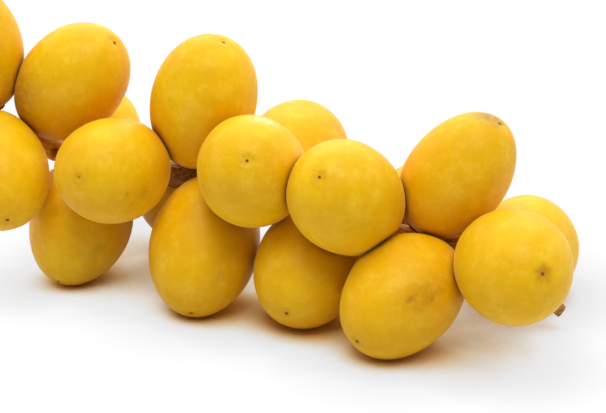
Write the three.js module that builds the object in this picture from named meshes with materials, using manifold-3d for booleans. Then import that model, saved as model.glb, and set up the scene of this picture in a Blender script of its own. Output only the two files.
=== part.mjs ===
// A cut strand of fresh yellow dates, lying on a flat surface.
//
// One woody strand runs along +X, thick at its cut end and thin at its tip. Eighteen dates
// grow straight out of it, each seated in a small calyx and pressed against its neighbours.
// The bunch lies on the flats of its lowest fruits. Millimetres and degrees, +Z up, with the
// surface at z = 0 and the origin under the middle of the finished bunch.

import * as THREE from "three";
import Module from "manifold-3d";

const wasm = await Module();
wasm.setup();

// ---------------------------------------------------------------- driving dimensions

const GAP = 0.3; // air between pieces that touch
const CUT_RADIUS = 2.2; // strand at its cut end
const TIP_RADIUS = 1.4; // strand at its tip
const CALYX_HEIGHT = 1.6; // strand's skin to the base of a date
const CALYX_RADIUS = 3.3;
const FULLNESS = 0.96; // 1 is an ellipse, less is blunter at both ends

// The strand zigzags a little from fruit to fruit, as it grew.
const STRAND_ROUTE = [
  [-98, 27, 38.4],
  [-80, 25, 38.5],
  [-70, 24.4, 34.7],
  [-62, 23, 30.5],
  [-50, 25, 28.5],
  [-38, 17, 29.5],
  [-29, 13, 28],
  [-20, 14, 29.5],
  [-10, 6, 27.5],
  [6, 8, 20.5],
  [16, -5, 23.5],
  [26, -11, 21.5],
  [34, -14.5, 20.3],
  [41, -17.5, 21.8],
  [50, -17, 14],
  [56, -17, 9.5],
  [62, -18, 4.5],
];

// Each date: where its base sits along the strand, the heading and the climb of its axis,
// its length, its width, and how much fuller it is towards its base, or, below zero, its apex.
const DATES = [
  { at: 21.3, heading: -155, climb: 73, length: 35, width: 25.7 },
  { at: 29, heading: -23, climb: 48, length: 34, width: 25.5 },
  { at: 16, heading: -71, climb: -19, length: 35, width: 26 },
  { at: 65.6, heading: -115, climb: 14, length: 34, width: 26 },
  { at: 50, heading: 102, climb: -3, length: 33, width: 25 },
  { at: 51, heading: -119, climb: -48, length: 31.5, width: 25.5 },
  { at: 74.6, heading: -37, climb: 72, length: 35.5, width: 25.5, belly: -0.03 },
  { at: 96.4, heading: -93, climb: 29.5, length: 35, width: 26.5 },
  { at: 101, heading: 75, climb: 6, length: 34, width: 26 },
  { at: 134.8, heading: -117, climb: 35.5, length: 35, width: 26.5 },
  { at: 85, heading: -106, climb: -41, length: 37, width: 26.5 },
  { at: 118.3, heading: -111, climb: -21.2, length: 33.3, width: 26.2 },
  { at: 156.5, heading: -135.5, climb: -22.8, length: 34, width: 26 },
  { at: 144, heading: -18, climb: 55.5, length: 34.5, width: 24.2, belly: 0.06 },
  { at: 163, heading: -73, climb: 9.5, length: 34, width: 26.5 },
  { at: 171.2, heading: 71, climb: -8, length: 33, width: 26 },
  { at: 137.5, heading: 60, climb: -11, length: 33, width: 25 },
  { at: 72.5, heading: 86, climb: -36, length: 32, width: 25 },
];

const DATE_SIDES = 20;
const DATE_RINGS = 12;
const CALYX_SIDES = 12;
const STRAND_SIDES = 8;
const STRAND_STEP = 4;

const UP = new THREE.Vector3(0, 1, 0); // axis that a lathe turns about

// ---------------------------------------------------------------- the strand

const strandCurve = new THREE.CatmullRomCurve3(
  STRAND_ROUTE.map((p) => new THREE.Vector3(...p)),
  false,
  "catmullrom",
  0.5,
);
strandCurve.arcLengthDivisions = 1000;
const STRAND_LENGTH = strandCurve.getLength();

function strandRadius(at) {
  return THREE.MathUtils.lerp(CUT_RADIUS, TIP_RADIUS, at / STRAND_LENGTH);
}

// A closed tube along the strand's curve: a ring of vertices at each step, joined to the
// next ring, and a fan of triangles over each end. It can be made thicker all over.
function strandGeometry(extra = 0) {
  const steps = Math.round(STRAND_LENGTH / STRAND_STEP);
  const frames = strandCurve.computeFrenetFrames(steps, false);
  const positions = [];
  const index = [];
  for (let i = 0; i <= steps; i++) {
    const centre = strandCurve.getPointAt(i / steps);
    const radius = strandRadius((i / steps) * STRAND_LENGTH) + extra;
    for (let j = 0; j < STRAND_SIDES; j++) {
      const angle = (2 * Math.PI * j) / STRAND_SIDES;
      const vertex = centre
        .clone()
        .addScaledVector(frames.normals[i], radius * Math.cos(angle))
        .addScaledVector(frames.binormals[i], radius * Math.sin(angle));
      positions.push(...vertex.toArray());
    }
  }
  for (let i = 0; i < steps; i++) {
    for (let j = 0; j < STRAND_SIDES; j++) {
      const a = i * STRAND_SIDES + j;
      const b = i * STRAND_SIDES + ((j + 1) % STRAND_SIDES);
      index.push(a, b, a + STRAND_SIDES);
      index.push(b, b + STRAND_SIDES, a + STRAND_SIDES);
    }
  }
  const last = steps * STRAND_SIDES;
  for (let j = 1; j < STRAND_SIDES - 1; j++) {
    index.push(0, j + 1, j);
    index.push(last, last + j, last + j + 1);
  }
  return new THREE.BufferGeometry()
    .setAttribute("position", new THREE.Float32BufferAttribute(positions, 3))
    .setIndex(index);
}

// ---------------------------------------------------------------- a date and its calyx

// A date's place: the strand's point where it grows, the direction it grows in, and its
// middle, which lies a calyx and half a length out from the strand's skin.
function placeOf(date) {
  const heading = THREE.MathUtils.degToRad(date.heading);
  const climb = THREE.MathUtils.degToRad(date.climb);
  const axis = new THREE.Vector3(
    Math.cos(climb) * Math.cos(heading),
    Math.cos(climb) * Math.sin(heading),
    Math.sin(climb),
  );
  const skin = strandCurve
    .getPointAt(date.at / STRAND_LENGTH)
    .addScaledVector(axis, strandRadius(date.at));
  const centre = skin.clone().addScaledVector(axis, CALYX_HEIGHT + date.length / 2);
  return { ...date, axis, skin, centre };
}

// A date's profile, turned about its axis. Its radius is the width's half times a power of
// the sine of an angle that runs from the base to the apex.
function dateGeometry({ length, width, belly = 0 }) {
  const profile = [];
  for (let i = 0; i <= DATE_RINGS; i++) {
    const angle = (Math.PI * i) / DATE_RINGS;
    const onAxis = i === 0 || i === DATE_RINGS;
    const swell = 1 + belly * Math.cos(angle);
    const radius = onAxis ? 0 : (width / 2) * Math.sin(angle) ** FULLNESS * swell;
    profile.push(new THREE.Vector2(radius, (-length / 2) * Math.cos(angle)));
  }
  return new THREE.LatheGeometry(profile, DATE_SIDES);
}

// A calyx: a shallow cup, open towards the date. Heights are from the strand's skin, and
// the inside keeps the gap from the date's round base. Its underside is cut to the strand.
function calyxGeometry({ length, width }) {
  const seat = (radius) => {
    const drop = 1 - Math.sqrt(1 - (2 * radius / width) ** 2);
    return CALYX_HEIGHT - GAP + (length / 2) * drop;
  };
  const rim = CALYX_RADIUS;
  const profile = [
    [0, 0],
    [0.4 * rim, 0],
    [0.8 * rim, 0.9],
    [rim, seat(rim) - 0.4],
    [rim, seat(rim) - 0.1],
    [0.65 * rim, seat(0.65 * rim) - 0.1],
    [0.3 * rim, seat(0.3 * rim) - 0.1],
    [0, seat(0) - 0.1],
  ];
  return new THREE.LatheGeometry(
    profile.map((p) => new THREE.Vector2(...p)),
    CALYX_SIDES,
  );
}

// ---------------------------------------------------------------- flats between neighbours

// The farthest point of a date along a direction, taking the date as an ellipsoid.
function farthestPoint(date, direction) {
  const along = direction.dot(date.axis);
  const across = direction.clone().addScaledVector(date.axis, -along);
  const half = date.length / 2;
  const radius = date.width / 2;
  const reach = Math.hypot(half * along, radius * across.length());
  return date.centre
    .clone()
    .addScaledVector(date.axis, (half * half * along) / reach)
    .addScaledVector(across, (radius * radius) / reach);
}

// The plane between two dates, facing the second one, or null where they stand well apart.
// Its normal starts from centre to centre and turns to where the two overlap least.
function planeBetween(first, second) {
  const normal = second.centre.clone().sub(first.centre).normalize();
  let from;
  let to;
  for (let turn = 0; turn < 40; turn++) {
    from = farthestPoint(first, normal);
    to = farthestPoint(second, normal.clone().negate());
    const slide = from.clone().sub(to);
    slide.addScaledVector(normal, -slide.dot(normal));
    normal.addScaledVector(slide, -0.02).normalize();
  }
  const space = to.clone().sub(from).dot(normal);
  if (space > 2 * GAP) return null;
  const middle = from.clone().add(to).multiplyScalar(0.5);
  return new THREE.Plane().setFromNormalAndCoplanarPoint(normal, middle);
}

// A mesh's geometry without what lies past a plane. The plane is in the world's frame.
function cutByPlane(mesh, plane) {
  const local = plane.clone().applyMatrix4(mesh.matrixWorld.clone().invert());
  const solid = solidOf(mesh.geometry);
  const kept = solid.trimByPlane(local.normal.clone().negate().toArray(), local.constant);
  mesh.geometry = geometryOf(kept);
}

// A geometry as a solid, with vertices that share a place merged into one.
function solidOf(geometry) {
  const position = geometry.getAttribute("position");
  const places = new Map();
  const vertices = [];
  const merged = [];
  const vertex = new THREE.Vector3();
  for (let i = 0; i < position.count; i++) {
    vertex.fromBufferAttribute(position, i);
    const key = vertex.toArray().map((v) => Math.round(v * 1e4)).join(" ");
    if (!places.has(key)) {
      places.set(key, vertices.length / 3);
      vertices.push(...vertex.toArray());
    }
    merged.push(places.get(key));
  }
  const corners = geometry.index ? [...geometry.index.array] : [...merged.keys()];
  const triangles = [];
  for (let i = 0; i < corners.length; i += 3) {
    const [a, b, c] = [0, 1, 2].map((k) => merged[corners[i + k]]);
    if (a !== b && b !== c && c !== a) triangles.push(a, b, c);
  }
  return new wasm.Manifold(
    new wasm.Mesh({
      numProp: 3,
      vertProperties: new Float32Array(vertices),
      triVerts: new Uint32Array(triangles),
    }),
  );
}

// A mesh's geometry without what lies inside another geometry of the world's frame.
function cutByGeometry(mesh, geometry) {
  const local = geometry.clone().applyMatrix4(mesh.matrixWorld.clone().invert());
  mesh.geometry = geometryOf(solidOf(mesh.geometry).subtract(solidOf(local)));
}

function geometryOf(solid) {
  const { vertProperties, triVerts } = solid.getMesh();
  const geometry = new THREE.BufferGeometry()
    .setAttribute("position", new THREE.BufferAttribute(vertProperties, 3))
    .setIndex(new THREE.BufferAttribute(triVerts, 1));
  geometry.computeVertexNormals();
  return geometry;
}

// ---------------------------------------------------------------- materials

const skinMaterial = () =>
  new THREE.MeshStandardMaterial({ color: 0xe9b21a, roughness: 0.5, metalness: 0 });
const calyxMaterial = () =>
  new THREE.MeshStandardMaterial({ color: 0xb98a45, roughness: 0.7, metalness: 0 });
const strandMaterial = () =>
  new THREE.MeshStandardMaterial({ color: 0xb87424, roughness: 0.65, metalness: 0 });

// ---------------------------------------------------------------- assembly

const bunch = new THREE.Group();
bunch.name = "bunch";

const strand = new THREE.Mesh(strandGeometry(), strandMaterial());
strand.name = "strand";
bunch.add(strand);

const places = DATES.map(placeOf);
const fruits = places.map((place, i) => {
  const number = String(i + 1).padStart(2, "0");
  const growth = new THREE.Quaternion().setFromUnitVectors(UP, place.axis);

  const date = new THREE.Mesh(dateGeometry(place), skinMaterial());
  date.name = `date_${number}`;
  date.position.copy(place.centre);
  date.quaternion.copy(growth);
  date.updateMatrixWorld(true);

  const calyx = new THREE.Mesh(calyxGeometry(place), calyxMaterial());
  calyx.name = `calyx_${number}`;
  calyx.position.copy(place.skin);
  calyx.quaternion.copy(growth);
  calyx.updateMatrixWorld(true);
  cutByGeometry(calyx, strandGeometry(GAP));

  bunch.add(date, calyx);
  return date;
});

// Neighbours press each other flat and keep the gap between the two flats.
places.forEach((first, i) => {
  places.slice(i + 1).forEach((second, j) => {
    const plane = planeBetween(first, second);
    if (!plane) return;
    const back = plane.clone();
    back.constant += GAP / 2;
    const front = plane.clone().negate();
    front.constant += GAP / 2;
    cutByPlane(fruits[i], back);
    cutByPlane(fruits[i + 1 + j], front);
  });
});

// The lowest fruits rest on small flats at z = 0.
const surface = new THREE.Plane(new THREE.Vector3(0, 0, -1), 0);
for (const date of fruits) {
  const lowest = new THREE.Box3().setFromObject(date).min.z;
  if (lowest < 0) cutByPlane(date, surface);
}

// The origin goes under the middle of the bunch.
const box = new THREE.Box3().setFromObject(bunch, true);
const middle = box.getCenter(new THREE.Vector3());
bunch.position.set(-middle.x, -middle.y, -box.min.z);

export default bunch;
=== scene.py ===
"""A cut strand of fresh yellow dates on a pale surface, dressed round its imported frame."""

import math

import bpy
import numpy as np
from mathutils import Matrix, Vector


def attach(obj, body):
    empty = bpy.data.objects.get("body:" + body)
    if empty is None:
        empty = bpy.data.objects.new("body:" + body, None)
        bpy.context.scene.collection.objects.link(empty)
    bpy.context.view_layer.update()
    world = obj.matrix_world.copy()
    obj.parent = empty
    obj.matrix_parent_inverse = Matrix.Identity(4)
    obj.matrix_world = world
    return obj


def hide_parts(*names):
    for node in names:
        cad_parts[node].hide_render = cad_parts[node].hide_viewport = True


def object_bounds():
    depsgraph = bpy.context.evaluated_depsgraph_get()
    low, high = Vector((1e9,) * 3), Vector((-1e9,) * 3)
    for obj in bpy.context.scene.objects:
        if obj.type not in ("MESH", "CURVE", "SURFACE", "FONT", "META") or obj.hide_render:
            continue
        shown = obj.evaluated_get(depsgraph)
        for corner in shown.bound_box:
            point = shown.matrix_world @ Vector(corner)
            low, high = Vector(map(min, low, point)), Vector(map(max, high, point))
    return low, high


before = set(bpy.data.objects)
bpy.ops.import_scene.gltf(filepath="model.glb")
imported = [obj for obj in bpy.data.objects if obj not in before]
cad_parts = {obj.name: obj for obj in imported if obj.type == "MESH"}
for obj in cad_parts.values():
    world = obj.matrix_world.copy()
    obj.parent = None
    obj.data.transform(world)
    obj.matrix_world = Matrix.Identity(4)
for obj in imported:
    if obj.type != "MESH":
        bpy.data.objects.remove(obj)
cad_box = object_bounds()
MM = 0.001


# ---------------------------------------------------------------- the strand
# A date palm's fruit-bearing strand: a thin, tough, slightly angular stem with lengthwise fibres.
# It swells a little under each fruit, and at one joint keeps the hollow of a fruit that has
# dropped. It was cut through at its thick end, and has dried brown at its tip. Where four fruits
# crowd it, it is browned too, as painted shade.

STRAND_TURNS = 72  # points round the stem
STRAND_STEP = 0.3 * MM
CURVE_STEPS = 24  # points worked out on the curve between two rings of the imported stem
END_SLICE = 1 * MM  # how far from its very end the first ring's points can lie
THREE_SIDED = 0.07  # swings of the radius, as shares of it, with the run for one radian
THREE_SIDED_RUN = 14 * MM
TWO_SIDED = 0.04
TWO_SIDED_RUN = 9 * MM
SWELLING = 0.7 * MM  # cushion under a fruit
SWELLING_REACH = 2.6 * MM
FIBRES = 13  # lengthwise ridges round the stem
FIBRE_HEIGHT = 0.09 * MM
LONG_WAVER = 0.8  # how far the fibres swing to the side, in radians
LONG_WAVER_RUN = 5.1 * MM
SHORT_WAVER = 0.5
SHORT_WAVER_RUN = 2.3 * MM
RIDGE_PALENESS = 0.5
TIP_DRIED = 6 * MM
TIP_FLATTENED = 0.15  # shares of the radius at the dried tip
TIP_RAGGED = 0.12
TIP_RAGGED_RUN = 0.7 * MM
CUT_DRIED = 0.6  # how brown the cut end is, and how deep
CUT_DEPTH = 0.5 * MM
CREVICE_SHADE_AT = 0.41  # share of the stem's length, where four fruits crowd it and it is browned as painted shade
CREVICE_SHADE_REACH = 9 * MM
CREVICE_SHADE_DARKNESS = 0.9
SEAT_AT = 0.202  # share of the stem's length, at a joint whose fruit has dropped off
SEAT_FACING = (0.0, -1.0, 0.1)
SEAT_RADIUS = 1.3 * MM
SEAT_DEPTH = 1.6 * MM
SEAT_BROWN = 1.3
LIP_AT = 1.4 * SEAT_RADIUS
LIP_WIDTH = 0.5 * SEAT_RADIUS
LIP_HEIGHT = 0.4 * MM
JOINT_SWELLING = 0.5 * MM
JOINT_REACH = 4.5 * MM

# The rows that round off an end: the share of the last ring's radius that is left, and how
# far the row moves outwards from the last ring, in mm.
END_ROWS = [(0.93, 0.15), (0.6, 0.22), (0.25, 0.12), (0.0, 0.1)]


def merged(name):
    """A CAD node's vertices, those at one place made one, and the edges between them."""
    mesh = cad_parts[name].data
    co = np.zeros(len(mesh.vertices) * 3)
    mesh.vertices.foreach_get("co", co)
    places, index = np.unique(co.reshape(-1, 3).round(6), axis=0, return_inverse=True)
    edges = np.zeros(len(mesh.edges) * 2, int)
    mesh.edges.foreach_get("vertices", edges)
    return places, index.reshape(-1)[edges].reshape(-1, 2)


def rings_along(name):
    """Centres and radii of a tube's rings, from its end of lowest X. Each ring is the set
    of vertices that edges join to the ring before it."""
    places, edges = merged(name)
    ring = np.flatnonzero(places[:, 0] < places[:, 0].min() + END_SLICE)
    seen, centres, radii = ring, [], []
    while len(ring):
        centre = places[ring].mean(0)
        centres.append(centre)
        radii.append(np.linalg.norm(places[ring] - centre, axis=1).mean())
        near = np.unique(edges[np.isin(edges, ring).any(1)])
        ring = np.setdiff1d(near, seen)
        seen = np.union1d(seen, ring)
    return np.array(centres), np.array(radii)


def smooth_path(points, step):
    """Points a step apart on the Catmull-Rom curve through the given ones: between two of
    them it is the cubic whose slope at each is half the way between its neighbours."""
    ends = np.vstack([2 * points[0] - points[1], points, 2 * points[-1] - points[-2]])
    t = np.linspace(0, 1, CURVE_STEPS, endpoint=False)[None, :, None]
    a, b, c, d = (ends[i : len(ends) - 3 + i, None] for i in range(4))
    bits = b + (c - a) * t / 2 + (a - 2.5 * b + 2 * c - d / 2) * t**2
    bits = (bits + (1.5 * (b - c) + (d - a) / 2) * t**3).reshape(-1, 3)
    fine = np.vstack([bits, points[-1:]])
    run = np.concatenate([[0], np.cumsum(np.linalg.norm(np.diff(fine, axis=0), axis=1))])
    at = np.linspace(0, run[-1], int(run[-1] / step) + 1)
    return np.stack([np.interp(at, run, fine[:, k]) for k in range(3)], 1), at


def closed_surface(name, grid, material, **fields):
    """Makes a piece from a grid of points. Rows run from one pole to the other and columns
    go once round. Each pole is the middle of its row. U is the way round, V the way along,
    and each field is a number for every grid point, kept as an attribute."""
    rows, turns = grid.shape[:2]
    ring = np.arange((rows - 2) * turns).reshape(rows - 2, turns) + 1
    last = (rows - 2) * turns + 1
    after = np.roll(ring, -1, axis=1)
    quads = np.stack([ring[:-1], after[:-1], after[1:], ring[1:]], -1).reshape(-1, 4)
    first_fan = np.stack([np.full(turns, 0), after[0], ring[0]], -1)
    last_fan = np.stack([np.full(turns, last), ring[-1], after[-1]], -1)

    def per_vertex(values):
        """The grid's values in a row, with each pole's row made one by its mean."""
        flat = values[1:-1].reshape(-1, *values.shape[2:])
        return np.concatenate([values[:1].mean(1), flat, values[-1:].mean(1)])

    points = per_vertex(grid)
    corners = points[np.vstack([quads[:, :3], quads[:, [0, 2, 3]], first_fan, last_fan])]
    volume = np.einsum("ij,ij->", np.cross(corners[:, 0], corners[:, 1]), corners[:, 2])
    outward = 1 if volume > 0 else -1
    faces = [part[:, ::outward].tolist() for part in (quads, first_fan, last_fan)]
    mesh = bpy.data.meshes.new(name)
    mesh.from_pydata(points.tolist(), [], faces[0] + faces[1] + faces[2])
    mesh.shade_smooth()

    loops = np.zeros(len(mesh.loops), int)
    mesh.loops.foreach_get("vertex_index", loops)
    sizes = np.zeros(len(mesh.polygons), int)
    mesh.polygons.foreach_get("loop_total", sizes)
    # A face across the seam has corners just before the end of the way round and corners
    # just after its start, and those past the start are counted on by one.
    u = per_vertex(np.tile(np.arange(turns) / turns, (rows, 1)))[loops]
    v = per_vertex(np.tile(np.linspace(0, 1, rows)[:, None], (1, turns)))[loops]
    starts = np.concatenate([[0], np.cumsum(sizes)[:-1]])
    highest = np.repeat(np.maximum.reduceat(u, starts), sizes)
    u = np.where((highest > 0.75) & (u < 0.25), u + 1, u)
    uv = mesh.uv_layers.new(name="around_along")
    uv.data.foreach_set("uv", np.stack([u, v], 1).ravel())

    for field, values in fields.items():
        attribute = mesh.attributes.new(field, "FLOAT", "POINT")
        attribute.data.foreach_set("value", per_vertex(values).astype(np.float32))
    mesh.materials.append(material)
    piece = bpy.data.objects.new(name, mesh)
    bpy.context.scene.collection.objects.link(piece)
    return piece


def unit(v):
    """Vectors made one long."""
    return v / np.linalg.norm(v, axis=-1, keepdims=True)


def colour(hex_code):
    """An sRGB hex colour as linear red, green, blue and alpha."""
    parts = [int(hex_code[i : i + 2], 16) / 255 for i in (1, 3, 5)]
    linear = [p / 12.92 if p <= 0.04045 else ((p + 0.055) / 1.055) ** 2.4 for p in parts]
    return (*linear, 1.0)


def add_node(tree, kind, inputs=None, ramp=None, **settings):
    """Adds one node. Settings are its properties. Each input, by name or number, is a value
    or another node's output to link. A ramp is a list of places and colours. A Mix node's
    two colours are its inputs 6 and 7, and its mixed colour is its output 2."""
    made = tree.nodes.new(kind)
    for key, value in settings.items():
        setattr(made, key, value)
    for key, value in (inputs or {}).items():
        if isinstance(value, bpy.types.NodeSocket):
            tree.links.new(value, made.inputs[key])
        else:
            made.inputs[key].default_value = value
    if ramp:
        while len(made.color_ramp.elements) < len(ramp):
            made.color_ramp.elements.new(0.5)
        for element, (place, value) in zip(made.color_ramp.elements, ramp):
            element.position = place
            element.color = value
    return made


def per_mm(size):
    """A noise scale whose features are about this many millimetres across."""
    return 1 / (size * MM)


def strand_finish():
    """Fresh palm strand: a tough, satin, golden skin over fibres, with pale ridges between them,
    brown flecks, and a dried, brown tip, cut edge and hollow. Where four fruits crowd it, the same
    brown is painted shade."""
    material = bpy.data.materials.new("palm_strand")
    material.use_nodes = True
    tree = material.node_tree
    shader = tree.nodes["Principled BSDF"]
    place = add_node(tree, "ShaderNodeTexCoord").outputs["Object"]
    ridge = add_node(tree, "ShaderNodeAttribute", attribute_name="ridge").outputs["Fac"]
    # Dried brown at the tip, cut end and hollow, and painted shade where four fruits crowd the
    # stem.
    dried = add_node(tree, "ShaderNodeAttribute", attribute_name="dried").outputs["Fac"]
    mottle = add_node(
        tree,
        "ShaderNodeTexNoise",
        {"Vector": place, "Scale": per_mm(3), "Detail": 5, "Roughness": 0.6},
    ).outputs["Fac"]
    skin = add_node(
        tree,
        "ShaderNodeValToRGB",
        {"Fac": mottle},
        ramp=[
            (0.30, colour("#BE7416")),
            (0.45, colour("#DE9E22")),
            (0.60, colour("#EFB834")),
            (0.75, colour("#F8D468")),
        ],
    ).outputs["Color"]
    pale = add_node(
        tree,
        "ShaderNodeMix",
        {"Factor": ridge, 6: skin, 7: colour("#FFE6A0")},
        data_type="RGBA",
    ).outputs[2]
    grain = add_node(
        tree,
        "ShaderNodeTexNoise",
        {"Vector": place, "Scale": per_mm(0.6), "Detail": 4},
    ).outputs["Fac"]
    husk = add_node(
        tree,
        "ShaderNodeValToRGB",
        {"Fac": grain},
        ramp=[(0.38, colour("#5E3410")), (0.62, colour("#B9852E"))],
    ).outputs["Color"]
    browned = add_node(
        tree, "ShaderNodeMix", {"Factor": dried, 6: pale, 7: husk}, data_type="RGBA"
    ).outputs[2]
    bump = add_node(
        tree,
        "ShaderNodeBump",
        {"Strength": 0.5, "Distance": 0.12 * MM, "Height": grain},
    )
    tree.links.new(browned, shader.inputs["Base Color"])
    tree.links.new(bump.outputs["Normal"], shader.inputs["Normal"])
    shader.inputs["Roughness"].default_value = 0.58
    return material


calyx_names = sorted(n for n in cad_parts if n.startswith("calyx_"))
calyx_middles = np.array([merged(n)[0].mean(0) for n in calyx_names])

centres, radii = rings_along("strand")
path, along = smooth_path(centres, STRAND_STEP)
radius_at = np.interp(along, np.linspace(0, along[-1], len(radii)), radii)
forward = unit(np.gradient(path, axis=0))
side = unit(np.cross(forward, [0.0, 0.0, 1.0]))
top = np.cross(side, forward)


def strand_surface():
    """A tube round the path. Its radius is the stem's, times one plus slow three-sided and
    two-sided swings, plus fibre ridges that waver along it, plus a cushion on the side of
    each fruit, a bell along the stem. The empty joint swells all round, and its hollow is a
    bell-shaped dent inside a raised lip. The dried tip is flattened and ragged, by two
    swings that grow towards it. Both ends round off to a point."""
    angle = np.linspace(0, 2 * np.pi, STRAND_TURNS, endpoint=False)[None, :]
    run = along[:, None]
    swing = THREE_SIDED * np.cos(3 * angle + run / THREE_SIDED_RUN)
    swing = swing + TWO_SIDED * np.cos(2 * angle - run / TWO_SIDED_RUN)
    waver = LONG_WAVER * np.sin(run / LONG_WAVER_RUN)
    waver = waver + SHORT_WAVER * np.sin(run / SHORT_WAVER_RUN + 2)
    fibre = np.cos(FIBRES * angle + waver)
    radius = radius_at[:, None] * (1 + swing) + FIBRE_HEIGHT * fibre
    outward = np.cos(angle)[..., None] * side[:, None] + np.sin(angle)[..., None] * top[:, None]
    for middle in calyx_middles:
        nearest = np.argmin(np.linalg.norm(path - middle, axis=1))
        facing = outward @ unit(middle - path[nearest])
        fade = np.exp(-(((run - along[nearest]) / SWELLING_REACH) ** 2))
        radius = radius + SWELLING * fade * np.clip(facing, 0, 1) ** 2
    past_joint = run - SEAT_AT * along[-1]
    turned_away = np.arccos(np.clip(outward @ unit(np.array(SEAT_FACING)), -1, 1))
    off_seat = np.hypot(past_joint, radius * turned_away)
    hollow = np.exp(-((off_seat / SEAT_RADIUS) ** 4))
    lip = np.exp(-(((off_seat - LIP_AT) / LIP_WIDTH) ** 2))
    joint = np.exp(-((past_joint / JOINT_REACH) ** 4))
    radius = radius + JOINT_SWELLING * joint + LIP_HEIGHT * lip - SEAT_DEPTH * hollow
    dried = np.clip((run - (along[-1] - TIP_DRIED)) / TIP_DRIED, 0, 1)
    ragged = TIP_FLATTENED * np.cos(2 * angle + 1)
    ragged = ragged + TIP_RAGGED * np.cos(5 * angle - run / TIP_RAGGED_RUN)
    radius = radius * (1 + dried * ragged)
    tube = path[:, None] + radius[..., None] * outward
    dried = dried + np.exp(-((run / CUT_DEPTH) ** 2)) * CUT_DRIED + 0 * angle
    # Painted shade: where four fruits crowd the stem it is browned as if dried, and its ridges pale
    # less.
    crevice_shade = np.exp(-(((run - CREVICE_SHADE_AT * along[-1]) / CREVICE_SHADE_REACH) ** 4))
    dried = np.maximum(dried, CREVICE_SHADE_DARKNESS * crevice_shade)
    fresh = 1 - 0.7 * dried.clip(0, 1)
    ridge = np.clip(fibre, 0, 1) ** 2 * RIDGE_PALENESS * fresh * (1 - hollow)
    dried = np.maximum(dried, SEAT_BROWN * hollow)

    def closing(row, direction, centre):
        """The rows that close an end, each drawn in towards its centre and moved out."""
        return [centre + (row - centre) * k + direction * d * MM for k, d in END_ROWS]

    def wider(values):
        """A field with the rows of both closed ends added."""
        return np.pad(values, ((len(END_ROWS), len(END_ROWS)), (0, 0)), mode="edge")

    start = closing(tube[0], -forward[0], path[0])[::-1]
    end = closing(tube[-1], forward[-1], path[-1])
    grid = np.concatenate([start, tube, end])
    return grid, wider(ridge), wider(dried)


grid, ridge, dried = strand_surface()
stem = closed_surface("palm_strand", grid, strand_finish(), ridge=ridge, dried=dried)
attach(stem, "root")
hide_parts("strand")


# ---------------------------------------------------------------- the calyxes
# What is left of each flower: a small leathery cup of three rounded lobes that grips the
# fruit's base and joins it to the strand. It dries tan, with brown edges.

CALYX_RADIUS = 3.5 * MM
CALYX_TURNS = 48
CALYX_RINGS = (0, 0.15, 0.3, 0.45, 0.6, 0.75, 0.88, 0.96, 1.0)  # shares of the reach
LOBES = 3
LOBE_DEPTH = 0.22  # share of the radius lost between two lobes
LOBE_ROUNDNESS = 0.7
CALYX_MIDDLE = 1.25 * MM  # thickness in the middle and at the edge
CALYX_EDGE = 0.35 * MM
CALYX_SPACE = 0.05 * MM  # between the cup and the fruit's ellipse
RIM_BULGE = 1.02
FLARE = 0.35 * MM
VEINS = 18
VEIN_HEIGHT = 0.06 * MM


def fruit_frame(number):
    """A fruit's base, the direction of its axis, its length and its width, from its node.
    The poles are its two farthest points, and the base is the one nearer the calyx."""
    points = merged(f"date_{number}")[0]
    apart = np.linalg.norm(points[:, None] - points[None], axis=2)
    ends = points[list(np.unravel_index(apart.argmax(), apart.shape))]
    hold = merged(f"calyx_{number}")[0].mean(0)
    base, apex = sorted(ends, key=lambda p: np.linalg.norm(p - hold))
    axis = unit(apex - base)
    off_axis = (points - base) - ((points - base) @ axis)[:, None] * axis
    width = 2 * np.linalg.norm(off_axis, axis=1).max()
    return base, axis, np.linalg.norm(apex - base), width


def across_axis(axis):
    """Two directions square to an axis and to each other."""
    helper = np.array([0.0, 0.0, 1.0]) if abs(axis[2]) < 0.9 else np.array([1.0, 0.0, 0.0])
    first = unit(np.cross(helper, axis))
    return first, np.cross(axis, first)


def calyx_finish():
    """Dry calyx: leathery, matt, tan with fine radial fibres, browner towards its edge."""
    material = bpy.data.materials.new("dry_calyx")
    material.use_nodes = True
    tree = material.node_tree
    shader = tree.nodes["Principled BSDF"]
    place = add_node(tree, "ShaderNodeTexCoord").outputs["Object"]
    edge = add_node(tree, "ShaderNodeAttribute", attribute_name="edge").outputs["Fac"]
    mottle = add_node(
        tree,
        "ShaderNodeTexNoise",
        {"Vector": place, "Scale": per_mm(1.6), "Detail": 5, "Roughness": 0.65},
    ).outputs["Fac"]
    body = add_node(
        tree,
        "ShaderNodeValToRGB",
        {"Fac": mottle},
        ramp=[
            (0.30, colour("#A9702C")),
            (0.50, colour("#D2A050")),
            (0.72, colour("#EBCB86")),
        ],
    ).outputs["Color"]
    browned = add_node(
        tree,
        "ShaderNodeMix",
        {"Factor": edge, 6: body, 7: colour("#8A5A28")},
        data_type="RGBA",
    ).outputs[2]
    bump = add_node(
        tree,
        "ShaderNodeBump",
        {"Strength": 0.5, "Distance": 0.15 * MM, "Height": mottle},
    )
    tree.links.new(browned, shader.inputs["Base Color"])
    tree.links.new(bump.outputs["Normal"], shader.inputs["Normal"])
    shader.inputs["Roughness"].default_value = 0.7
    return material


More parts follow.
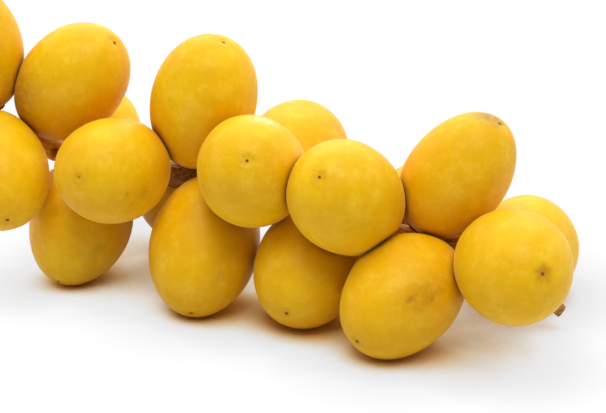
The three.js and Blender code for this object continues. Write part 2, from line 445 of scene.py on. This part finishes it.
def calyx_surface(base, axis, length, width, turned):
    """A cup that hugs the fruit. Going round, its reach is the radius less a dip between
    lobes, the size of a rectified cosine. Its inside lies just off the fruit's ellipse. It
    is thick in the middle, thins by a power of the way out, and flares at the edge."""
    angle = np.linspace(0, 2 * np.pi, CALYX_TURNS, endpoint=False)[None, :]
    lobe = np.abs(np.cos(LOBES / 2 * (angle - turned))) ** LOBE_ROUNDNESS
    reach = CALYX_RADIUS * (1 - LOBE_DEPTH * (1 - lobe))
    share = np.array(CALYX_RINGS)[:, None]
    radius = share * reach
    seat = length / 2 * (1 - np.sqrt(1 - (2 * radius / width) ** 2)) - CALYX_SPACE
    veins = VEIN_HEIGHT * np.cos(VEINS * angle) * share
    thick = CALYX_EDGE + (CALYX_MIDDLE - CALYX_EDGE) * (1 - share) ** 0.8 + veins
    inside = seat - FLARE * share**6
    outside = inside - thick
    rim = np.concatenate([radius, radius[-1:] * RIM_BULGE, radius[::-1]])
    between = (outside + inside)[-1:] / 2
    height = np.concatenate([outside, between, inside[::-1]])
    first, second = across_axis(axis)
    outward = np.cos(angle)[..., None] * first + np.sin(angle)[..., None] * second
    edge = np.concatenate([share, share[-1:], share[::-1]]) ** 5 + 0 * angle
    return base + rim[..., None] * outward + height[..., None] * axis, edge


calyx_material = calyx_finish()
for name in calyx_names:
    number = name.removeprefix("calyx_")
    grid, edge = calyx_surface(*fruit_frame(number), turned=float(number))
    cup = closed_surface(f"lobed_calyx_{number}", grid, calyx_material, edge=edge)
    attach(cup, "root")
    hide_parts(name)


# ---------------------------------------------------------------- the dates
# Fresh dates at the crisp yellow stage: smooth, waxy, oval fruits with a dark dot of dried
# style in a shallow dimple at the apex. Crowded on the strand, they have pressed one
# another slightly flat, and they carry faint freckles, wrinkles and scuffs.

DATE_ROWS = 150
DATE_TURNS = 128
POLE_ROWS = 0.80  # how much the rows crowd towards base and apex
FULLNESS = 0.96
DIMPLE_DEPTH = 0.38 * MM
DIMPLE_RADIUS = 1.5 * MM
DOT_RADIUS = 0.5  # in mm, as dot_size is below
DOT_HEIGHT = 0.28 * MM
CREASES = 6  # round the dot, with how far out they lie, how long they are and how deep
CREASE_AT = 1.2 * MM
CREASE_LENGTH = 0.7 * MM
CREASE_DEPTH = 0.10 * MM
RING_RADIUS = 2.1 * MM
GREEN_RADIUS = 2.6 * MM
BASE_DEPTH = 0.35 * MM  # the hollow that the calyx sits in, and the paler skin round it
BASE_RADIUS = 3.2 * MM
BASE_PALE_RADIUS = 4.2 * MM
NEIGHBOURS = 42 * MM  # fruits whose middles are farther apart than this can't touch
TOUCHING = 1 * MM  # fruits with more space than this between them aren't pressed
THINNED = 4  # one point in four, each way, finds the plane between two fruits
PLANE_TRIES = 40
PLANE_STEER = 20  # how hard a sideways slip turns the plane, per metre
SKIN_GAP = 0.06 * MM
PRESS_SOFTNESS = 0.15 * MM
CONTACT_SHADE_REACH = 0.35 * MM  # how deep the painted shade, a brown rim round a pressed patch, goes

# How single fruits differ from the plain oval. Belly makes the base fuller, or, below
# zero, the apex. Taper narrows the apex. Pull moves the apex dot off the axis, in mm, along
# a world direction. Dimple is how deep the dimple is, nub how high the dot stands, dot how
# dark it is, and dot_size its radius in mm. Ring and green tint the dimple, and star
# creases it. Collar is a wrinkle round the dot: its radius and its height in mm. Tone is
# how deep the yellow is.
FRUIT_SHAPES = {
    "02": {"pull": (0.8, 0.0, -0.9)},
    "03": {"pull": (-0.8, 0.0, -1.8), "star": 0.5, "tone": 0.2},
    "04": {
        "green": 0.15,
        "ring": 0.3,
        "dot": 0.6,
        "dot_size": 0.38,
        "star": 0.2,
        "collar": (1.2, 0.20),
    },
    "06": {"belly": 0.05, "taper": 0.06, "nub": 1.6},
    "07": {"belly": -0.03, "pull": (1.0, 0.0, 0.2), "dot": 0.7, "tone": 0.0},
    "08": {"star": 0.4, "green": 0.45, "dot_size": 0.4},
    "10": {"star": 0.3, "green": 0.45, "ring": 0.3, "dot_size": 0.38, "tone": 0.3},
    "11": {"taper": 0.05, "pull": (0.9, 0.0, 0.0), "nub": 1.2, "tone": 0.9},
    "13": {"nub": 1.3, "star": 0.6, "tone": 1.0},
    "14": {"belly": 0.06, "tone": 1.0},
    "15": {
        "pull": (0.8, 0.0, 2.2),
        "ring": 0.9,
        "dimple": 1.8,
        "star": 0.1,
        "dot_size": 0.42,
        "tone": 0.7,
    },
}

# Marks on single fruits: the share of the way along the fruit, the heading and climb in degrees of
# the side it is on, half its length and half its width in mm, how deep it sinks in mm (below zero
# it bulges), how brown it is, how grey and corky, and how much pale wax bloom it carries. The brown
# of date_02's mark is painted shade, and the bloom on the tops of date_08 and date_10 is pale wax
# bloom and a painted highlight.
FRUIT_MARKS = {
    # date_02: painted shade, brown at its lower left and base, where its neighbours shade it.
    "02": [(0.24, 205, -10, 8.0, 7.0, 0, 0.90, 0, 0)],
    "03": [(0.50, -80, 0, 9.0, 0.5, 0.10, 0.10, 0, 0), (0.42, -80, 10, 0.6, 7.0, 0.10, 0.15, 0, 0)],
    "04": [
        (0.66, -29, -16, 1.8, 1.4, 0, 0.34, 0, 0),
        (0.81, -30, -18, 0.5, 0.5, 0, 0.45, 0, 0),
        (0.73, -33, -30, 0.5, 0.4, 0, 0.45, 0, 0),
        (0.81, -44, -52, 1.2, 0.9, 0, 0.20, 0, 0),
    ],
    "06": [
        (0.22, 175, 20, 7.0, 8.0, -1.8, 0, 0, 0),
        (0.55, -120, 10, 1.4, 1.2, 0.03, 0.35, 0, 0),
        (0.70, -60, 0, 2.4, 1.6, 0.05, 0.25, 0, 0),
    ],
    "07": [(0.45, -60, 0, 0.7, 4.5, 0.05, 0.10, 0, 0.08), (0.62, -110, 0, 3.0, 1.0, 0, 0, 0, 0.12)],
    # date_08: pale wax bloom on its top, and a painted highlight there.
    "08": [(0.75, 0, 78, 1.6, 3.0, 0, 0, 0, 1.8)],
    # date_10: its first mark is pale wax bloom on its top, and a painted highlight there.
    "10": [(0.58, 180, 75, 1.2, 4.0, 0, 0, 0, 1.6), (0.40, -30, -60, 7.0, 6.0, -0.65, 0, 0, 0)],
    "11": [(0.45, -60, 10, 8.0, 4.0, 0.15, 0.25, 0, 0), (0.80, -70, 0, 2.0, 1.0, 0.05, 0.25, 0, 0)],
    "12": [(0.75, -60, 0, 1.0, 1.0, 0.02, 0.35, 0, 0)],
    "13": [
        (0.40, 165, 50, 8.0, 7.0, -1.45, 0, 0, 0),
        (0.58, -76, 18, 6.5, 4.0, 0.35, 0.50, 0, 0),
        (0.65, -84, 22, 3.0, 1.0, 0.20, 0.80, 0, 0),
        (0.53, -70, 14, 3.2, 0.9, 0.20, 0.80, 0, 0),
        (0.62, -40, -45, 4.5, 0.5, 0.25, 0.80, 0, 0),
    ],
    "14": [
        (0.965, 153, 34, 1.4, 3.2, 0.10, 0.40, 1.3, 0.1),
        (0.55, -130, 0, 5.0, 3.0, 0.10, 0, 0, 0),
    ],
    "15": [(0.55, 150, 40, 5.0, 6.0, 0, 0.12, 0, 0), (0.70, -30, 20, 5.0, 1.4, 0, 0.10, 0, 0)],
}


def date_surface(number, base, axis, length, width):
    """An oval turned about its axis. Its radius is half the width times a power of the sine
    of an angle that runs from base to apex, times slow waves round and along the fruit.
    The apex sinks in a dimple, a bell-shaped curve, with the dot's low bump in its middle
    and creases round it. Each mark is a bell-shaped dent or bulge. The base sinks at the
    calyx. The fields say where the skin is tinted, from nought to about one."""
    rng = np.random.default_rng(int(number))
    shape = FRUIT_SHAPES.get(number, {})
    first, second = across_axis(axis)
    t = np.linspace(0, 1, DATE_ROWS)
    polar = (np.pi * (t - POLE_ROWS * np.sin(2 * np.pi * t) / (2 * np.pi)))[:, None]
    angle = np.linspace(0, 2 * np.pi, DATE_TURNS, endpoint=False)[None, :]
    swell = 1 + shape.get("belly", 0) * np.cos(polar)
    swell = swell - shape.get("taper", 0) * np.clip(-np.cos(polar), 0, 1) ** 2
    # Each wave has its height, as a share of the radius, its counts round and along, and a
    # random start.
    turn = rng.uniform(0, 2 * np.pi, 8)
    waves = 0.012 * np.cos(2 * angle + turn[0]) + 0.008 * np.cos(3 * angle + turn[1])
    waves = waves + 0.008 * np.cos(angle + turn[2]) * np.cos(2 * polar + turn[3])
    waves = waves + 0.004 * np.cos(5 * angle + turn[4]) * np.cos(3 * polar + turn[5])
    waves = waves + 0.0016 * np.cos(9 * angle + turn[6]) * np.cos(7 * polar + turn[7])
    waves = waves * np.sin(polar)
    radius = width / 2 * np.sin(polar).clip(0) ** FULLNESS * swell * (1 + waves)
    height = length / 2 * (1 - np.cos(polar)) + 0 * angle

    pull = np.array(shape.get("pull", (0, 0, 0))) * MM
    across = radius * np.cos(angle) - pull @ first
    beside = radius * np.sin(angle) - pull @ second
    off_dot = np.hypot(across, beside)
    way = np.arctan2(beside, across)
    at_apex = np.where(polar > np.pi / 2, 1.0, 0.0)
    folds = 1 + 0.10 * np.cos(5 * way + turn[1]) + 0.06 * np.cos(8 * way + turn[2])
    dimple = np.exp(-((off_dot / (DIMPLE_RADIUS * folds)) ** 2))
    hollow = DIMPLE_DEPTH * shape.get("dimple", 1) * dimple
    dot = np.exp(-((off_dot / (shape.get("dot_size", DOT_RADIUS) * MM)) ** 4))
    collar, collar_height = np.array(shape.get("collar", (1.9, 0.05))) * MM
    rim = np.exp(-(((off_dot - collar) / (0.35 * collar)) ** 2))
    crease = np.exp(-(((off_dot - CREASE_AT) / CREASE_LENGTH) ** 2))
    crease = crease * np.clip(np.cos(CREASES * way + turn[3]), 0, 1) ** 3
    star = shape.get("star", 0.3)
    rise = DOT_HEIGHT * shape.get("nub", 1) * dot + collar_height * rim * folds
    height = height + at_apex * (rise - hollow - CREASE_DEPTH * star * crease)
    height = height + (1 - at_apex) * BASE_DEPTH * np.exp(-((radius / BASE_RADIUS) ** 2))

    ring = np.exp(-((off_dot / (RING_RADIUS * folds)) ** 4))
    green = np.exp(-((off_dot / (GREEN_RADIUS * folds)) ** 4))
    fields = {
        "base": (1 - at_apex) * np.exp(-((radius / BASE_PALE_RADIUS) ** 2)),
        "scar": at_apex * (dot * shape.get("dot", 1) + 0.16 * crease * star),
        "ring": at_apex * shape.get("ring", 0.1) * ring,
        "green": at_apex * shape.get("green", 0.15) * green,
        "tone": np.full(radius.shape, shape.get("tone", rng.uniform(0.2, 0.8))),
        "brown": np.zeros(radius.shape),
        "cork": np.zeros(radius.shape),
        "bloom": np.zeros(radius.shape),
        "touch": np.zeros(radius.shape),
    }
    for mark in FRUIT_MARKS.get(number, []):
        share, heading, climb, half_length, half_width, depth, brown, cork, bloom = mark
        heading, climb = math.radians(heading), math.radians(climb)
        facing = np.array([math.cos(heading), math.sin(heading), math.tan(climb)])
        there = math.atan2(facing @ second, facing @ first)
        lengthwise = (height - share * length) / (half_length * MM)
        sideways = (np.mod(angle - there + np.pi, 2 * np.pi) - np.pi) * radius / (half_width * MM)
        bell = np.exp(-(lengthwise**2) - sideways**2)
        radius = radius - depth * MM * bell
        for field, amount in (("brown", brown), ("cork", cork), ("bloom", bloom)):
            fields[field] = np.maximum(fields[field], amount * bell)

    outward = np.cos(angle)[..., None] * first + np.sin(angle)[..., None] * second
    grid = base + radius[..., None] * outward + height[..., None] * axis
    return grid, fields


def plane_between(first, second):
    """The plane midway between two point sets, facing the second: its normal, how far along
    it the plane lies, and the space between the sets. The normal starts from centre to
    centre and turns to where the two overlap least."""
    normal = unit(second.mean(0) - first.mean(0))
    for _ in range(PLANE_TRIES):
        reach = first[(first @ normal).argmax()]
        start = second[(second @ normal).argmin()]
        slide = (reach - start) - ((reach - start) @ normal) * normal
        normal = unit(normal - slide * PLANE_STEER)
    reach, start = (first @ normal).max(), (second @ normal).min()
    return normal, (reach + start) / 2, start - reach


def pressed(points, normal, limit):
    """Points past a plane set back onto it, with a soft shoulder: the distance past it, d,
    becomes minus the softness times the logarithm of one plus e to the minus d over it."""
    past = (points @ normal - limit) / PRESS_SOFTNESS
    kept = -np.logaddexp(0, -past)
    return points + ((kept - past) * PRESS_SOFTNESS)[..., None] * normal


def date_finish():
    """Fresh date skin: smooth and waxy, so its highlights are broad and soft and its edges pale.
    Golden yellow, deeper in slow patches and finely mottled, with scattered freckles, brown
    bruises, a greyish corky scuff, wax bloom and a dark dot of dried style. On the tops of two
    fruits the wax bloom is also a painted highlight, a broad brown patch on one fruit is painted
    shade, and a brown rim of painted shade lies round where fruits press on one another."""
    material = bpy.data.materials.new("fresh_date_skin")
    material.use_nodes = True
    tree = material.node_tree
    shader = tree.nodes["Principled BSDF"]
    place = add_node(tree, "ShaderNodeTexCoord").outputs["Object"]

    # Masks from nought to one: fields kept on the mesh, and noises given by their size in
    # mm, detail and roughness, and by the two values that their contrast runs between.
    masks = {
        name: add_node(tree, "ShaderNodeAttribute", attribute_name=name).outputs["Fac"]
        for name in ("base", "scar", "ring", "green", "tone", "brown", "cork", "bloom", "touch")
    }
    noises = {
        "patches": (16, 3, 0.6, 0.32, 0.68),
        "clouds": (5, 4, 0.6, 0.42, 0.62),
        "pale clouds": (4, 4, 0.65, 0.50, 0.64),
        "mottle": (1.8, 5, 0.65, 0.38, 0.64),
        "streaks": (1.3, 5, 0.6, 0.30, 0.60),
        "flecks": (0.9, 5, 0.75, 0.50, 0.56),
        "fine": (0.8, 3, 0.6, 0.30, 0.70),
        "sparse": (9, 2, 0.6, 0.52, 0.62),
    }
    for name, (size, detail, roughness, low, high) in noises.items():
        noise = add_node(
            tree,
            "ShaderNodeTexNoise",
            {"Vector": place, "Scale": per_mm(size), "Detail": detail, "Roughness": roughness},
        ).outputs["Fac"]
        masks[name] = add_node(
            tree, "ShaderNodeMapRange", {"Value": noise, "From Min": low, "From Max": high}
        ).outputs["Result"]
    # Specks are the middles of cells about 2.6 mm across.
    cells = add_node(tree, "ShaderNodeTexVoronoi", {"Vector": place, "Scale": per_mm(2.6)})
    masks["specks"] = add_node(
        tree,
        "ShaderNodeMapRange",
        {"Value": cells.outputs["Distance"], "From Min": 0.09, "From Max": 0.03},
    ).outputs["Result"]

    skin = add_node(
        tree,
        "ShaderNodeValToRGB",
        {"Fac": masks["patches"]},
        ramp=[
            (0.0, colour("#EEB600")),
            (0.5, colour("#F3C000")),
            (1.0, colour("#F8CA04")),
        ],
    ).outputs["Color"]
    # Layers from the skin's own colour outwards: the masks that they show through, how much
    # of them shows at most, and their colour.
    layers = [
        (("tone",), 0.35, "#E4A600"),
        (("clouds",), 0.16, "#DDA200"),
        (("mottle",), 0.26, "#DCA000"),
        (("pale clouds", "fine"), 0.34, "#FFDC58"),
        (("specks", "sparse"), 0.50, "#B87A14"),
        # Brown: bruises, and on date_02 a broad painted shade at its lower left.
        (("brown",), 0.55, "#B4781C"),
        (("brown", "streaks"), 0.60, "#9A601C"),
        (("green", "mottle"), 0.80, "#C4A01C"),
        (("ring",), 0.75, "#C07F14"),
        (("cork", "streaks"), 1.00, "#A8935A"),
        # Wax bloom, and on the tops of date_08 and date_10 a painted highlight.
        (("bloom", "flecks"), 1.00, "#FFF6E0"),
        (("base",), 0.60, "#DDBE50"),
        # Painted shade: a brown rim round where fruits press on one another.
        (("touch",), 0.90, "#92500E"),
        (("scar",), 1.00, "#6A3A10"),
    ]
    for names, share, hex_code in layers:
        for name in names:
            share = add_node(
                tree,
                "ShaderNodeMath",
                {0: share, 1: masks[name]},
                operation="MULTIPLY",
                use_clamp=True,
            ).outputs[0]
        skin = add_node(
            tree,
            "ShaderNodeMix",
            {"Factor": share, 6: skin, 7: colour(hex_code)},
            data_type="RGBA",
        ).outputs[2]

    gloss = add_node(
        tree, "ShaderNodeMapRange", {"Value": masks["mottle"], "To Min": 0.42, "To Max": 0.52}
    ).outputs["Result"]
    dry = add_node(
        tree, "ShaderNodeMath", {0: masks["scar"], 1: masks["cork"]}, operation="MAXIMUM"
    ).outputs[0]
    dulled = add_node(
        tree, "ShaderNodeMath", {0: dry, 1: 0.35, 2: gloss}, operation="MULTIPLY_ADD"
    ).outputs[0]
    relief = add_node(
        tree,
        "ShaderNodeMath",
        {0: masks["mottle"], 1: 1.5, 2: masks["fine"]},
        operation="MULTIPLY_ADD",
    ).outputs[0]
    bump = add_node(
        tree, "ShaderNodeBump", {"Strength": 0.32, "Distance": 0.06 * MM, "Height": relief}
    )
    tree.links.new(skin, shader.inputs["Base Color"])
    tree.links.new(dulled, shader.inputs["Roughness"])
    tree.links.new(bump.outputs["Normal"], shader.inputs["Normal"])
    shader.inputs["IOR"].default_value = 1.45
    shader.inputs["Specular IOR Level"].default_value = 0.21
    shader.inputs["Sheen Weight"].default_value = 0.55
    shader.inputs["Sheen Roughness"].default_value = 0.18
    shader.inputs["Sheen Tint"].default_value = colour("#FFE48C")
    shader.inputs["Subsurface Weight"].default_value = 0.12
    shader.inputs["Subsurface Radius"].default_value = (1.0, 0.55, 0.06)
    shader.inputs["Subsurface Scale"].default_value = 2.0 * MM
    return material


numbers = [name.removeprefix("calyx_") for name in calyx_names]
fruits = {n: date_surface(n, *fruit_frame(n)) for n in numbers}
grids = {n: fruits[n][0] for n in numbers}
thinned = {n: grids[n][::THINNED, ::THINNED].reshape(-1, 3) for n in numbers}
for i, n in enumerate(numbers):
    for m in numbers[i + 1 :]:
        if np.linalg.norm(thinned[n].mean(0) - thinned[m].mean(0)) > NEIGHBOURS:
            continue
        normal, middle, space = plane_between(thinned[n], thinned[m])
        if space > TOUCHING:
            continue
        for k, facing, limit in ((n, normal, middle), (m, -normal, -middle)):
            grids[k] = pressed(grids[k], facing, limit - SKIN_GAP / 2)
            # Painted shade: the skin browns as it nears the plane that two fruits press on,
            # standing in for the shade between them.
            nearness = np.exp((grids[k] @ facing - limit) / CONTACT_SHADE_REACH)
            fruits[k][1]["touch"] = np.maximum(fruits[k][1]["touch"], nearness)

date_material = date_finish()
for n in numbers:
    grid = pressed(grids[n], np.array([0.0, 0.0, -1.0]), 0.0)
    fruit = closed_surface(f"fresh_date_{n}", grid, date_material, **fruits[n][1])
    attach(fruit, "root")
    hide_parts(f"date_{n}")


# ---------------------------------------------------------------- surface and light
# A plain white table in a light tent: a broad soft lamp overhead and a broader one behind,
# white walls at the sides and the back, and an open, darker front.

FLOOR_SIZE = 8.0
SHADOW_REACH = 22 * MM  # how far from the fruits their shadow shows on the table


def background_ray(tree):
    """One for a ray from the eye, a mirror or through glass, and nought for light."""
    ray = add_node(tree, "ShaderNodeLightPath").outputs
    seen = ray["Is Camera Ray"]
    for other in ("Is Glossy Ray", "Is Transmission Ray"):
        seen = add_node(
            tree, "ShaderNodeMath", {0: seen, 1: ray[other]}, operation="MAXIMUM"
        ).outputs[0]
    return seen


def floor_finish():
    """Matt white card. Where the sky over it is open it is seen as plain white, and near the
    fruits, which close it in, its own shading shows. How open the sky is sets how much of the white
    shows, how much painted warm light, standing in for the light that the fruits throw back, tints
    the card and its white, and how far painted shade dims the white where their shade thins out."""
    material = bpy.data.materials.new("white_card")
    material.use_nodes = True
    tree = material.node_tree
    tree.nodes.clear()
    seen = background_ray(tree)
    open_sky = add_node(
        tree, "ShaderNodeAmbientOcclusion", {"Distance": SHADOW_REACH}, samples=16
    ).outputs["AO"]
    lift = add_node(
        tree,
        "ShaderNodeMapRange",
        {"Value": open_sky, "From Min": 0.19, "From Max": 0.48, "To Min": 0.0, "To Max": 1.0},
        interpolation_type="SMOOTHSTEP",
    ).outputs["Result"]
    closed = add_node(
        tree,
        "ShaderNodeMapRange",
        {"Value": open_sky, "From Min": 0.60, "From Max": 0.34},
    ).outputs["Result"]
    # Painted warm light: the matt card is tinted warm where the fruits close it in, standing in for
    # the light that they throw back.
    painted_bounce_colour = add_node(
        tree,
        "ShaderNodeMix",
        {"Factor": closed, 6: colour("#E0E0E0"), 7: colour("#E0B058")},
        data_type="RGBA",
    ).outputs[2]
    matt = add_node(tree, "ShaderNodeBsdfDiffuse", {"Color": painted_bounce_colour})
    white_with_painted_bounce = add_node(
        tree,
        "ShaderNodeMix",
        # The white is tinted the same way, as painted warm light.
        {"Factor": closed, 6: colour("#FFFFFF"), 7: colour("#DDB878")},
        data_type="RGBA",
    ).outputs[2]
    # Painted shade: the white dims where the fruits begin to close it in.
    shade = add_node(
        tree,
        "ShaderNodeMapRange",
        {"Value": open_sky, "From Min": 0.70, "From Max": 0.99, "To Min": 0.82, "To Max": 1.0},
    ).outputs["Result"]
    white = add_node(tree, "ShaderNodeEmission", {"Color": white_with_painted_bounce, "Strength": shade})
    share = add_node(tree, "ShaderNodeMath", {0: seen, 1: lift}, operation="MULTIPLY").outputs[0]
    mixed = add_node(
        tree,
        "ShaderNodeMixShader",
        {"Fac": share, 1: matt.outputs["BSDF"], 2: white.outputs["Emission"]},
    )
    add_node(tree, "ShaderNodeOutputMaterial", {"Surface": mixed.outputs["Shader"]})
    return material


half = FLOOR_SIZE / 2
floor_mesh = bpy.data.meshes.new("table")
floor_mesh.from_pydata(
    [(-half, -half, 0), (half, -half, 0), (half, half, 0), (-half, half, 0)], [], [(0, 1, 2, 3)]
)
floor_mesh.materials.append(floor_finish())
floor = bpy.data.objects.new("table", floor_mesh)
bpy.context.scene.collection.objects.link(floor)

world = bpy.data.worlds.new("light_tent")
bpy.context.scene.world = world
world.use_nodes = True
sky = world.node_tree
sky.nodes.clear()
seen = background_ray(sky)
# The back grows brighter as a direction turns away from the front, and more so at the
# sides, over the little light that comes from all round.
direction = add_node(sky, "ShaderNodeTexCoord").outputs["Generated"]
split = add_node(sky, "ShaderNodeSeparateXYZ", {"Vector": direction}).outputs
sideways = add_node(sky, "ShaderNodeMath", {0: split["X"]}, operation="ABSOLUTE").outputs[0]
back = add_node(
    sky,
    "ShaderNodeMapRange",
    {"Value": split["Y"], "From Min": -0.5, "From Max": 0.5},
    interpolation_type="SMOOTHSTEP",
).outputs["Result"]
sides = add_node(
    sky,
    "ShaderNodeMapRange",
    {"Value": sideways, "From Min": 0.2, "From Max": 0.9, "To Min": 0.22, "To Max": 1.8},
    interpolation_type="SMOOTHSTEP",
).outputs["Result"]
tent = add_node(
    sky, "ShaderNodeMath", {0: back, 1: sides, 2: 0.14}, operation="MULTIPLY_ADD"
).outputs[0]
walls = add_node(sky, "ShaderNodeBackground", {"Color": (1, 1, 1, 1), "Strength": tent})
plain = add_node(sky, "ShaderNodeBackground", {"Color": (1, 1, 1, 1), "Strength": 1.0})
tent_light = add_node(
    sky, "ShaderNodeMixShader", {"Fac": seen, 1: walls.outputs[0], 2: plain.outputs[0]}
)
add_node(sky, "ShaderNodeOutputWorld", {"Surface": tent_light.outputs[0]})

low, high = cad_box
middle = (low + high) / 2


def lamp(name, place, size, power):
    """A square soft lamp of that size, aimed at the middle of the bunch."""
    light = bpy.data.lights.new(name, "AREA")
    light.shape, light.size, light.energy = "SQUARE", size, power
    holder = bpy.data.objects.new(name, light)
    holder.location = place
    holder.rotation_euler = (middle - holder.location).to_track_quat("-Z", "Y").to_euler()
    bpy.context.scene.collection.objects.link(holder)


lamp("overhead", (0.0, -0.34, 0.95), 0.6, 7.6)
lamp("behind", (0.0, 0.75, 0.75), 0.9, 6.0)


# ---------------------------------------------------------------- camera
# A long lens in front of the bunch, looking a little down on it.

CAMERA_RISE = math.radians(22)
CAMERA_REACH = 600 * MM
LENS = 146.1  # millimetres, as the sensor's width is
SENSOR = 36
AIM_RIGHT = 15.0 * MM  # of the bunch's middle
AIM_NEARER = 3.9 * MM
AIM_HEIGHT = 24.5 * MM
AIM = (middle.x + AIM_RIGHT, middle.y - AIM_NEARER, low.z + AIM_HEIGHT)

camera = bpy.data.cameras.new("camera")
camera.lens, camera.sensor_width = LENS, SENSOR
camera.clip_start, camera.clip_end = 0.01, 50
stand = bpy.data.objects.new("camera", camera)
stand.location = (
    AIM[0],
    AIM[1] - CAMERA_REACH * math.cos(CAMERA_RISE),
    AIM[2] + CAMERA_REACH * math.sin(CAMERA_RISE),
)
stand.rotation_euler = (math.pi / 2 - CAMERA_RISE, 0, 0)
bpy.context.scene.collection.objects.link(stand)
bpy.context.scene.camera = stand
bpy.context.scene.view_settings.view_transform = "Standard"

bpy.context.view_layer.update()
